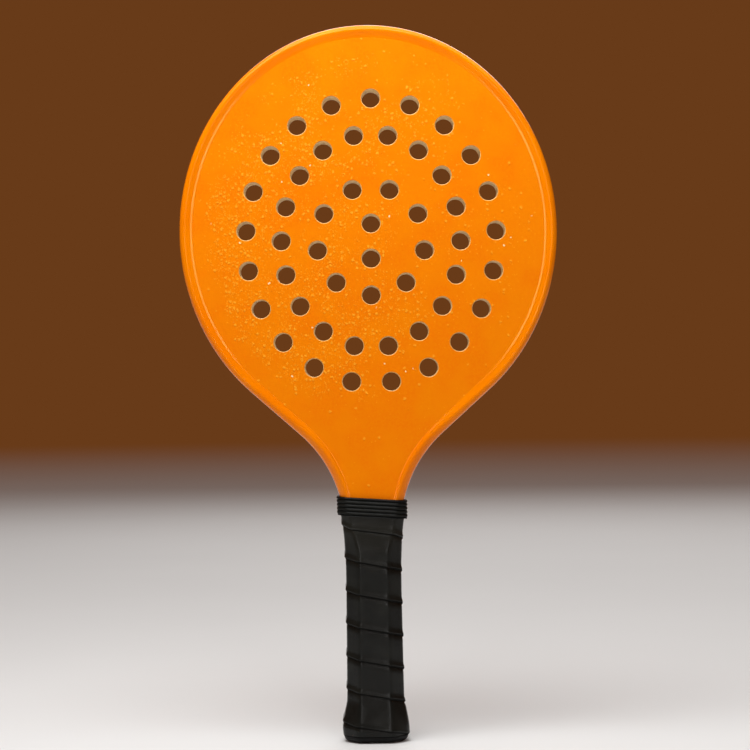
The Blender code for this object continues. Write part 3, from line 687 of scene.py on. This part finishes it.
def wrap_stations():
    """(outline point, lower edge, upper edge, upper edge before the cut, lift) along the strip.

    The strip climbs as it goes clockwise.
    """
    points = handle_ring(WAIST_Z, CLEARANCE + STRIP_THICKNESS / 2)
    steps = [math.dist(a, b) for a, b in zip(points, points[1:] + points[:1])]
    total = sum(steps)
    ends = [z for _, _, z in slanted(WRAP_TOP_Z, CLEARANCE)]
    place = len(points) - SIDE_STEPS - ARC_STEPS  # where the front right bevel meets the side
    made = []
    turn = 0.0
    while True:
        waver = WAVER * noise.noise((WAVER_RATE * turn, WAVER_SEED, 0.0))
        upper = WRAP_BOTTOM_Z + WRAP_START_WIDTH + WRAP_PITCH * turn
        lower = max(WRAP_BOTTOM_Z, upper - STRIP_WIDTH + waver * smooth(turn - FIRST_LAP))
        if lower > ends[place] - WRAP_START_WIDTH:
            return made
        lift = smooth((turn - FIRST_LAP) / FIRST_LAP_RISE)
        made.append((place, lower, min(upper, ends[place]), upper, lift))
        place = (place - 1) % len(points)
        turn += steps[place] / total


def wrap_pad(z):
    """What lies under the strip besides the handle and the cap."""
    neck = smooth((z - NECK_PAD_LOW) / (NECK_PAD_HIGH - NECK_PAD_LOW))
    flare = smooth((BUTT_PAD_HIGH - z) / (BUTT_PAD_HIGH - BUTT_PAD_LOW))
    return NECK_PAD * neck + BUTT_PAD * flare


def wrap(leather, painted_edge_shade):
    """One strip from the butt to the collar, each turn over the upper edge of the last."""
    bm = bmesh.new()
    rings = []
    cache = {}
    for place, lower, upper, uncut, lift in wrap_stations():
        ring = []
        for z, offset in wrap_section(lower, upper, uncut, lift):
            key = (round(z, 7), round(offset, 7))
            if key not in cache:
                cache[key] = handle_ring(z, cap_side(z) + offset + wrap_pad(z))
            x, y = cache[key][place]
            ring.append((x, y, z))
        rings.append(add_ring(bm, ring))
    # the lower edge's faces take the painted shade that falls under each turn's edge
    shaded_lower_edge = (0, 1, len(rings[0]) - 1)
    join_rings(bm, rings, marked=shaded_lower_edge)
    close_ends(bm, rings)
    piece(
        "spiral_wrap", bm, [leather, painted_edge_shade], smooth_angle=45, replaces=["grip_wrap"],
    )


# The butt

def butt(plastic):
    """The butt cap: rounded lip, ledge for the wrap, flared side, closed end and open top."""
    levels = []
    reach = CAP_LIP + BUTT_PAD + CAP_END_INSET
    for k in range(CAP_LIP_STEPS + 1):
        angle = math.pi / 2 * k / CAP_LIP_STEPS
        z = CAP_LIP_HEIGHT * (1 - math.cos(angle))
        levels.append((z, reach * math.sin(angle) - CAP_END_INSET))
    for k in range(CAP_SIDE_STEPS + 1):
        z = mix(CAP_LIP_HEIGHT, CAP_TOP_Z, k / CAP_SIDE_STEPS)
        levels.append((z, cap_side(z) - HALF_GAP))
    levels += [(CAP_TOP_Z, -CAP_WALL), (CAP_FLOOR, -CAP_WALL)]
    bm = bmesh.new()
    rings = []
    for z, grow in levels:
        rings.append(add_ring(bm, [(x, y, z) for x, y in handle_ring(z, grow)]))
    join_rings(bm, rings)
    close_ends(bm, rings)
    piece(
        "butt_end_cap", bm, [plastic], smooth_angle=40, replaces=["butt_cap"],
    )


# Materials

NOISE_LOW, NOISE_HIGH = 0.3, 0.7  # nearly all of a noise texture's values lie between these


class Finish:
    """A node material, with short calls that add its nodes. Scales are in features a metre."""

    def __init__(self, name):
        self.material = bpy.data.materials.new(name)
        self.material.use_nodes = True
        self.nodes = self.material.node_tree.nodes
        self.links = self.material.node_tree.links
        self.shader = self.nodes["Principled BSDF"]
        self.coordinates = self.nodes.new("ShaderNodeTexCoord").outputs["Object"]

    def feed(self, socket, value):
        """Gives a socket another node's output, or else a plain value."""
        if isinstance(value, bpy.types.NodeSocket):
            self.links.new(value, socket)
        else:
            socket.default_value = value

    def node(self, kind, inputs, **settings):
        """A new shader node, with its settings and inputs."""
        made = self.nodes.new(f"ShaderNode{kind}")
        for key, value in settings.items():
            setattr(made, key, value)
        for key, value in inputs.items():
            self.feed(made.inputs[key], value)
        return made

    def axes(self):
        """X, Y and Z of the place on the racket."""
        return self.node("SeparateXYZ", {"Vector": self.coordinates}).outputs

    def vector(self, operation, inputs):
        return self.node("VectorMath", inputs, operation=operation).outputs["Vector"]

    def noise(self, scale, detail=2.0):
        inputs = {"Vector": self.coordinates, "Scale": scale, "Detail": detail}
        return self.node("TexNoise", inputs).outputs["Fac"]

    def shifted(self, reach, scale):
        """Coordinates pushed about by noise, so that what follows them turns irregular."""
        inputs = {"Vector": self.coordinates, "Scale": scale, "Detail": 1.0}
        pushed = self.node("TexNoise", inputs).outputs["Color"]
        centred = self.vector("SUBTRACT", {0: pushed, 1: (0.5, 0.5, 0.5)})
        scaled = self.vector("SCALE", {0: centred, "Scale": reach})
        return self.vector("ADD", {0: scaled, 1: self.coordinates})

    def cells(self, scale, at=None):
        """(distance to the cell's middle, the cell's own random number)."""
        made = self.node("TexVoronoi", {"Vector": at or self.coordinates, "Scale": scale})
        number = self.node("SeparateColor", {"Color": made.outputs["Color"]}).outputs["Red"]
        return made.outputs["Distance"], number

    def span(self, value, low, high, to_low=0.0, to_high=1.0):
        """value's stretch from low to high, eased onto another stretch."""
        inputs = {
            "Value": value, "From Min": low, "From Max": high, "To Min": to_low, "To Max": to_high,
        }
        return self.node("MapRange", inputs, interpolation_type="SMOOTHSTEP").outputs["Result"]

    def drift(self, scale, low=0.0, high=1.0, detail=2.0):
        """A value that wanders from low to high over the surface."""
        return self.span(self.noise(scale, detail), NOISE_LOW, NOISE_HIGH, low, high)

    def calculate(self, operation, a, b=0.0):
        """One step of arithmetic; b is idle where the operation takes one value."""
        return self.node("Math", {0: a, 1: b}, operation=operation).outputs["Value"]

    def add(self, a, b):
        return self.calculate("ADD", a, b)

    def times(self, a, b):
        return self.calculate("MULTIPLY", a, b)

    def blend(self, share, a, b):
        """Colour a where share is 0, b where it is 1."""
        return self.node("Mix", {"Factor": share, 6: a, 7: b}, data_type="RGBA").outputs[2]

    def bump(self, height, strength, distance, normal=None):
        inputs = {"Height": height, "Strength": strength, "Distance": distance}
        if normal:
            inputs["Normal"] = normal
        return self.node("Bump", inputs).outputs["Normal"]

    def finish(self, colour, roughness, normal=None, **constants):
        """The material, with these on its shader; an underscore in a name stands for a space."""
        self.feed(self.shader.inputs["Base Color"], colour)
        self.feed(self.shader.inputs["Roughness"], roughness)
        if normal:
            self.feed(self.shader.inputs["Normal"], normal)
        for key, value in constants.items():
            self.shader.inputs[key.replace("_", " ")].default_value = value
        return self.material


def rgb(red, green, blue):
    """A linear colour from a screen colour of 0 to 255, by the sRGB curve."""
    made = []
    for value in (red, green, blue):
        share = value / 255
        made.append(share / 12.92 if share <= 0.04045 else ((share + 0.055) / 1.055) ** 2.4)
    return (*made, 1.0)


ORANGE = rgb(239, 127, 0)
YELLOW_ORANGE = rgb(240, 131, 0)
RED_ORANGE = rgb(238, 120, 0)
# Painted light on the grit: a painted highlight on each grain, a rare paler painted glint, and a
# painted shadow just below each grain
PAINTED_GLINT_ORANGE = rgb(255, 176, 44)
PAINTED_SHADOW_ORANGE = rgb(206, 88, 0)
PAINTED_GLINT_SPECK = rgb(255, 232, 170)
GLOSS_TINT = (1.0, 0.62, 0.25, 1.0)

# The grit is full up to one distance out and ends at another, where 1 is the head's outline
# (its shares of the half width and the half height, squared and added)
GRIT_FULL, GRIT_END = 0.66, 0.80
# and it thins out from the left to a part of it on the right
GRIT_LEFT_X, GRIT_RIGHT_X, GRIT_RIGHT_PART = -0.05, 0.09, 0.20
# (cells a metre, reach of a grain from the middle of its cell, share of cells that have one)
LARGE_GRAINS = (400, 0.50, 0.42)
SMALL_GRAINS = (780, 0.52, 0.50)
GRAIN_TOP = 0.35  # share of a grain's reach that is at full height
LUMPINESS = 0.10  # how far, in cells, a grain's edge strays
DRIFT_CONTRAST = 30  # how many times fewer grains lie outside the drifts
SHADE_DROP = 0.0007  # how far below a grain its shade lies
# how strongly the painted shadow and the painted highlights on small and large grains show
SHADE_STRENGTH, SMALL_STRENGTH, LARGE_STRENGTH = 0.35, 0.38, 0.62
SMALL_HEIGHT, GRAIN_HEIGHT = 0.5, 0.25  # of the small grains and of the paint's own grain
SPECKS_A_METRE = 210
SPECK_REACH, SPECK_CORE = 0.17, 0.10
SPECK_NONE, SPECK_ALL = 0.955, 0.965  # of the cells' random numbers


def face_paint():
    """Orange paint with raised grit, in drifts, that catches the light; painted glints and shadows
    on it.
    """
    made = Finish("gritty_orange_paint")
    place = made.axes()
    across = made.calculate("DIVIDE", place["X"], HEAD_HALF_WIDTH)
    up = made.calculate("SUBTRACT", place["Z"], HEAD_CENTRE_Z)
    along = made.calculate("DIVIDE", up, HEAD_HALF_HEIGHT)
    out = made.add(made.calculate("POWER", across, 2), made.calculate("POWER", along, 2))
    margin = made.span(out, GRIT_END, GRIT_FULL)
    side = made.span(place["X"], GRIT_RIGHT_X, GRIT_LEFT_X, GRIT_RIGHT_PART, 1.0)
    patches = made.span(made.noise(30, 3.0), 0.36, 0.56)
    drifts = made.times(patches, made.times(margin, side))
    lumps = made.span(made.noise(2600), 0.2, 0.8, -LUMPINESS, LUMPINESS)
    wavy = made.shifted(reach=0.0016, scale=700)

    def grains(at, scale, reach, kept):
        """1 on a grain, 0 between them."""
        distance, number = made.cells(scale, at)
        shape = made.span(made.add(distance, lumps), reach, reach * GRAIN_TOP)
        threshold = made.span(drifts, 0.0, 1.0, 1.0 - kept / DRIFT_CONTRAST, 1.0 - kept)
        return made.times(shape, made.calculate("GREATER_THAN", number, threshold))

    large = grains(wavy, *LARGE_GRAINS)
    small = grains(wavy, *SMALL_GRAINS)
    shade = grains(made.vector("ADD", {0: wavy, 1: (0.0, 0.0, SHADE_DROP)}), *LARGE_GRAINS)
    speck_distance, speck_number = made.cells(SPECKS_A_METRE, wavy)
    speck = made.span(speck_distance, SPECK_REACH, SPECK_CORE)
    specks = made.times(speck, made.span(speck_number, SPECK_NONE, SPECK_ALL))

    # the orange itself, then the painted shadow below each grain, painted highlights on the grains
    # and rare painted glints
    colour = made.blend(made.span(made.noise(45), 0.38, 0.62), RED_ORANGE, YELLOW_ORANGE)
    colour = made.blend(made.drift(500, detail=3.0), colour, ORANGE)
    colour = made.blend(made.times(shade, SHADE_STRENGTH), colour, PAINTED_SHADOW_ORANGE)
    colour = made.blend(made.times(small, SMALL_STRENGTH), colour, PAINTED_GLINT_ORANGE)
    colour = made.blend(made.times(large, LARGE_STRENGTH), colour, PAINTED_GLINT_ORANGE)
    colour = made.blend(made.times(specks, margin), colour, PAINTED_GLINT_SPECK)
    grit = made.add(large, made.times(small, SMALL_HEIGHT))
    height = made.add(grit, made.times(made.noise(1500), GRAIN_HEIGHT))
    normal = made.bump(height, strength=0.35, distance=0.00025)
    roughness = made.drift(300, 0.36, 0.46)
    return made.finish(
        colour, roughness, normal, Specular_IOR_Level=0.10, Specular_Tint=GLOSS_TINT,
    )


def rim_paint():
    """The same orange under a smooth gloss, with the faint ripple of sprayed lacquer."""
    made = Finish("glossy_orange_lacquer")
    colour = made.blend(made.drift(22, detail=3.0), rgb(239, 121, 0), rgb(241, 130, 0))
    ripple = made.bump(made.noise(240), strength=0.05, distance=0.0003)
    roughness = made.drift(70, 0.09, 0.13)
    return made.finish(
        colour, roughness, ripple, Specular_IOR_Level=0.30, Specular_Tint=GLOSS_TINT,
    )


def hole_edge():
    """Bare laminate and filler where each hole's mouth was chamfered."""
    made = Finish("chamfered_hole_edge")
    filler = made.span(made.noise(900, 3.0), 0.35, 0.65)
    colour = made.blend(filler, rgb(204, 152, 78), rgb(220, 172, 98))
    return made.finish(colour, made.drift(500, 0.5, 0.7))


def core_foam():
    """Cream closed-cell foam, cut by the drill."""
    made = Finish("cream_foam")
    distance, number = made.cells(1500)
    tone = made.blend(number, rgb(235, 214, 172), rgb(242, 222, 182))
    colour = made.blend(made.span(distance, 0.55, 0.30), rgb(228, 206, 164), tone)
    normal = made.bump(distance, strength=0.3, distance=0.00025)
    return made.finish(colour, made.drift(700, 0.75, 0.92), normal)


def wrap_leather():
    """Black synthetic leather: fine grain, a dull sheen, paler where the hand rubs, painted light
    near the collar.
    """
    made = Finish("black_wrap")
    worn = made.span(made.noise(55, 4.0), 0.45, 0.75)
    colour = made.blend(worn, rgb(20, 21, 19), rgb(28, 29, 26))
    # painted light: the wrap turns paler towards the collar, where the top of the grip is lit
    painted_light_near_collar = made.span(made.axes()["Z"], NECK_PAD_LOW, COLLAR_BOTTOM_Z, 0.0, 0.8)
    colour = made.blend(painted_light_near_collar, colour, rgb(38, 38, 34))
    creases = made.bump(made.noise(230, 3.0), strength=0.12, distance=0.0004)
    grain, _ = made.cells(1700)
    normal = made.bump(grain, strength=0.22, distance=0.00012, normal=creases)
    roughness = made.drift(120, 0.20, 0.27, detail=3.0)
    return made.finish(colour, roughness, normal, Specular_IOR_Level=0.16)


def wrap_edge_painted_shade():
    """The strip's cut lower edge, duller than its face, painted darker as the shade under each
    turn.
    """
    made = Finish("wrap_edge_painted_shade")
    colour = made.blend(made.noise(700), rgb(12, 12, 11), rgb(19, 19, 17))
    return made.finish(colour, made.drift(400, 0.75, 0.95), Specular_IOR_Level=0.08)


def collar_rubber():
    """Black rubber: painted highlight along the ribs' crests, painted shade on the lip and in the
    grooves.
    """
    made = Finish("black_rubber")
    place = made.axes()
    slant = made.times(place["X"], math.tan(COLLAR_SLANT))
    drop = made.calculate("SUBTRACT", COLLAR_TOP_Z, made.add(place["Z"], slant))
    down = made.calculate("DIVIDE", drop, COLLAR_HEIGHT / COLLAR_RIBS)
    phase = made.times(made.calculate("SUBTRACT", down, LIP_END), math.pi)
    crest = made.calculate("ABSOLUTE", made.calculate("SINE", phase))
    # painted light: crests below the lip are painted paler as highlights; the lip and grooves keep
    # the dark base as painted shade
    under_lip = made.span(down, LIP_END, LIP_END + 0.3)
    painted_crest_light = made.times(made.span(crest, 0.55, 0.95), under_lip)
    uneven = made.span(made.noise(160, 3.0), 0.35, 0.7, 0.45, 1.0)
    colour = made.blend(made.times(painted_crest_light, uneven), rgb(7, 8, 6), rgb(24, 25, 22))
    normal = made.bump(made.noise(1400, 3.0), strength=0.15, distance=0.0001)
    return made.finish(colour, made.drift(300, 0.42, 0.55), normal, Specular_IOR_Level=0.12)


def cap_plastic():
    """Black plastic with a fine moulded grain."""
    made = Finish("black_plastic")
    colour = made.blend(made.noise(240, 3.0), rgb(6, 6, 6), rgb(11, 11, 10))
    normal = made.bump(made.noise(1800), strength=0.2, distance=0.0001)
    return made.finish(colour, made.drift(200, 0.42, 0.55), normal, Specular_IOR_Level=0.15)


def handle_foam():
    """Out of sight: the handle's pale foam."""
    made = Finish("handle_foam")
    distance, number = made.cells(900)
    colour = made.blend(number, rgb(196, 184, 158), rgb(212, 202, 178))
    normal = made.bump(distance, strength=0.4, distance=0.0003)
    return made.finish(colour, made.drift(400, 0.8, 0.95), normal)


def staple_steel():
    """Out of sight too: plain steel wire."""
    made = Finish("staple_steel")
    colour = made.blend(made.noise(900), rgb(150, 150, 152), rgb(178, 178, 180))
    return made.finish(colour, made.drift(1200, 0.3, 0.45), Metallic=1.0)


def dress(node, material):
    """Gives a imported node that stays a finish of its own."""
    for slot in frame["nodes"][node].material_slots:
        slot.material = material


# The stage

# painted shade: the dark brown the holes show, set behind the racket as a backdrop
PAINTED_SHADE_BROWN = rgb(104, 59, 25)
OVERHEAD = rgb(140, 140, 140)
BACKDROP_TOP, OVERHEAD_START = 0.35, 0.85  # as the sine of the angle above eye level
FLOOR_RADIUS = 12.0
FLOOR_SIDES = 96
PALE_MIDDLE = (-0.6, 0.0, 0.0)
PALE_RADIUS = 1.5
DARK_RADIUS = 7.0
# (name, place, what it faces, width and height, watts)
LIGHTS = (
    ("key", (-0.22, -0.39, 1.10), (0.0, 0.0, 0.40), (0.90, 0.65), 9.4),
    ("crown", (0.03, -0.13, 0.63), (0.0, 0.0, 0.40), (0.50, 0.15), 0.58),
    ("overhead", (0.0, 0.35, 2.3), (0.0, 0.0, 0.0), (2.0, 2.0), 12),
    ("left_strip", (-0.31, -1.46, 0.37), (0.0, 0.0, 0.33), (0.07, 0.54), 1.6),
    ("right_strip", (0.31, -1.46, 0.37), (0.0, 0.0, 0.33), (0.07, 0.54), 1.6),
    ("rear", (0.3, 2.2, 1.7), (0.0, 0.0, 0.28), (1.8, 1.4), 18),
)


def floor():
    """A pale floor whose far end fades into a glowing brown of painted shade, so that no edge
    shows.
    """
    bm = bmesh.new()
    bmesh.ops.create_circle(bm, cap_ends=True, segments=FLOOR_SIDES, radius=FLOOR_RADIUS)
    mesh = bpy.data.meshes.new("floor")
    bm.to_mesh(mesh)
    bm.free()
    made = Finish("floor")
    tone = made.blend(made.noise(3.0), rgb(222, 222, 221), rgb(226, 226, 225))
    made.finish(tone, 0.8, Specular_IOR_Level=0.2)
    inputs = {0: made.coordinates, 1: PALE_MIDDLE}
    away = made.node("VectorMath", inputs, operation="DISTANCE").outputs["Value"]
    # the far end glows the same brown of painted shade, though it is no lamp
    far = made.node("Emission", {"Color": PAINTED_SHADE_BROWN}).outputs["Emission"]
    near = made.shader.outputs["BSDF"]
    share = made.span(away, PALE_RADIUS, DARK_RADIUS)
    mixed = made.node("MixShader", {0: share, 1: near, 2: far}).outputs["Shader"]
    made.feed(made.nodes["Material Output"].inputs["Surface"], mixed)
    mesh.materials.append(made.material)
    obj = bpy.data.objects.new("floor", mesh)
    bpy.context.scene.collection.objects.link(obj)


def world():
    """Dark warm brown at eye level, painted shade seen through the holes and a dark surround for
    the lighting; softly bright overhead.
    """
    made = bpy.data.worlds.new("studio")
    made.use_nodes = True
    bpy.context.scene.world = made
    nodes, links = made.node_tree.nodes, made.node_tree.links
    place = nodes.new("ShaderNodeTexCoord")
    split = nodes.new("ShaderNodeSeparateXYZ")
    ramp = nodes.new("ShaderNodeValToRGB")
    links.new(place.outputs["Generated"], split.inputs[0])
    links.new(split.outputs["Z"], ramp.inputs["Fac"])
    links.new(ramp.outputs["Color"], nodes["Background"].inputs["Color"])
    low, high = ramp.color_ramp.elements
    low.position, low.color = BACKDROP_TOP, PAINTED_SHADE_BROWN
    high.position, high.color = OVERHEAD_START, OVERHEAD


def softbox(name, place, target, size, power):
    """A rectangular area light, which the camera doesn't see."""
    light = bpy.data.lights.new(name, "AREA")
    light.shape = "RECTANGLE"
    light.size, light.size_y = size
    light.energy = power
    obj = bpy.data.objects.new(name, light)
    obj.location = place
    obj.rotation_euler = (Vector(target) - Vector(place)).to_track_quat("-Z", "Y").to_euler()
    obj.visible_camera = False
    bpy.context.scene.collection.objects.link(obj)


def lights():
    """A key from the upper left, and a small crown close above that brightens the head's top.

    An overhead lights the floor, two strips beside the camera are mirrored in the rim, and a
    rear light shapes the racket's back.
    """
    for light in LIGHTS:
        softbox(*light)


def camera():
    """The photograph's camera, square on to the front face."""
    data = bpy.data.cameras.new("camera")
    data.sensor_width = SENSOR
    data.lens = SENSOR * FOCAL_PIXELS / IMAGE_SIZE
    obj = bpy.data.objects.new("camera", data)
    obj.location = CAMERA
    obj.rotation_euler = (math.pi / 2, CAMERA_ROLL, 0.0)
    bpy.context.scene.collection.objects.link(obj)
    bpy.context.scene.camera = obj


def build():
    bpy.context.scene.view_settings.view_transform = "Standard"
    camera()
    world()
    floor()
    lights()
    rim(rim_paint())
    faces(face_paint(), hole_edge())
    core(core_foam())
    collar(collar_rubber())
    wrap(wrap_leather(), wrap_edge_painted_shade())
    butt(cap_plastic())
    foam, plastic, steel = handle_foam(), cap_plastic(), staple_steel()
    for node in ("handle_core", "front_pallet", "rear_pallet"):
        dress(node, foam)
    dress("finishing_tape", plastic)
    for node in ("front_cap_staple", "rear_cap_staple"):
        dress(node, steel)


build()
